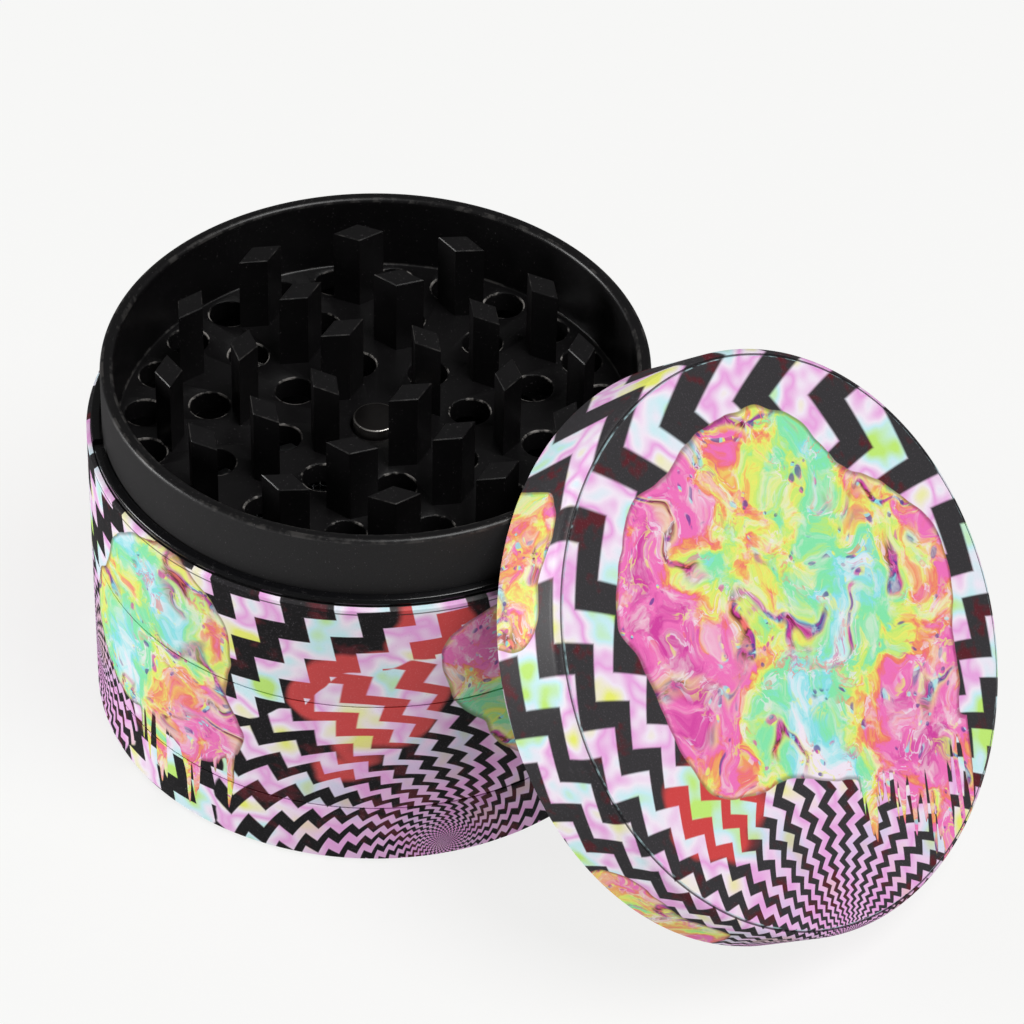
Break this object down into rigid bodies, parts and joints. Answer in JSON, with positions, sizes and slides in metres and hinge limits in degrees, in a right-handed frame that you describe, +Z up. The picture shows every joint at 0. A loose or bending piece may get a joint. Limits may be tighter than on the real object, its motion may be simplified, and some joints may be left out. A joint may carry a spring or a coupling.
{
  "type": "herb grinder",
  "caption": "Round metal herb grinder with a toothed grinding base, screen chamber and catcher that screw together, and a toothed lid leaning open beside them.",
  "frame": {"origin": "centre of the catcher's flat bottom, on the axis of the stack", "axes": "+Z up along the axis of the stack; the lid leans against the body in front of it on the right, towards +X and -Y"},
  "size_m": [0.0997, 0.0879, 0.0548],
  "materials": {
    "black_metal": "black anodised, satin",
    "body_print": "satin printed film, many-coloured marbling and zigzag bands",
    "lid_print": "satin printed film, many-coloured marbling and zigzag bands",
    "screen_steel": "woven stainless steel",
    "nickel": "nickel plated, slightly scuffed",
    "black_plastic": "glossy black hard plastic"
  },
  "bodies": {
    "catcher_body": {"catcher": "black_metal", "catcher_print_sleeve": "body_print"},
    "chamber_carrier": {"screen_retaining_ring": "screen_steel"},
    "chamber_body": {"screen_chamber": "black_metal", "chamber_print_sleeve": "body_print", "screen_frame_ring": "black_plastic", "screen_mesh": "screen_steel"},
    "base_carrier": {"base_magnet": "nickel"},
    "base_body": {"grinding_base": "black_metal", "base_print_sleeve": "body_print"},
    "friction_ring_body": {"friction_ring": "black_plastic"},
    "lid_carrier": {"lid_magnet": "nickel"},
    "lid_body": {"lid": "black_metal", "lid_print_film": "lid_print"}
  },
  "joints": [
    {"name": "chamber_rise", "type": "slide", "parent": "catcher_body", "child": "chamber_carrier", "axis": [0, 0, 1], "range_m": [0, 0.01]},
    {"name": "chamber_unscrew", "type": "hinge", "parent": "chamber_carrier", "child": "chamber_body", "pos_m": [0, 0, 0.008], "axis": [0, 0, 1], "range_deg": [0, 1800]},
    {"name": "base_rise", "type": "slide", "parent": "chamber_body", "child": "base_carrier", "axis": [0, 0, 1], "range_m": [0, 0.01]},
    {"name": "base_unscrew", "type": "hinge", "parent": "base_carrier", "child": "base_body", "pos_m": [0, 0, 0.023], "axis": [0, 0, 1], "range_deg": [0, 1800]},
    {"name": "friction_ring_turn", "type": "hinge", "parent": "base_body", "child": "friction_ring_body", "pos_m": [0, 0, 0.0375], "axis": [0, 0, 1], "continuous": true},
    {"name": "lid_lift", "type": "slide", "parent": "base_body", "child": "lid_carrier", "axis": [0, 0, 1], "range_m": [0, 0.06]},
    {"name": "lid_twist", "type": "hinge", "parent": "lid_carrier", "child": "lid_body", "pos_m": [0.03749, -0.02451, 0.02451], "axis": [0.6031, -0.4919, 0.628], "continuous": true}
  ],
  "couplings": [
    {"joint": "chamber_rise", "follows": "chamber_unscrew", "m_per_rad": 0.00031831},
    {"joint": "base_rise", "follows": "base_unscrew", "m_per_rad": 0.00031831}
  ]
}
